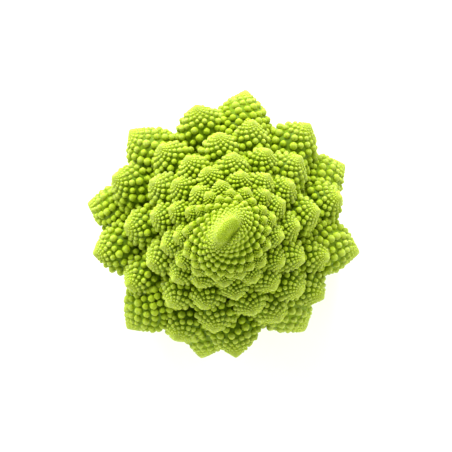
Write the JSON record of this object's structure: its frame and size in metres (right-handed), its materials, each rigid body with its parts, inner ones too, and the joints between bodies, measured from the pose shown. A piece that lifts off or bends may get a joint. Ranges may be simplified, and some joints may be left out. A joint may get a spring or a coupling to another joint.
{
  "type": "romanesco head",
  "caption": "Whole trimmed head of romanesco: a broad cone of spiralling pointed florets on a short cut stalk with thick branches, standing on its cut face.",
  "frame": {"origin": "middle of the stalk's flat cut face, which the head stands on", "axes": "+Z up the head's axis to the tip of the crown; +X to the right and +Y up as seen in the picture from above"},
  "size_m": [0.1487, 0.1472, 0.108],
  "materials": {
    "curd": "fresh flower buds, bright yellow-green and slightly waxy, darker olive green in the gaps",
    "stalk": "pale green fibrous vegetable stem with a moist cream-coloured cut face"
  },
  "bodies": {
    "root": {"curd": "curd", "stalk": "stalk"}
  },
  "joints": []
}
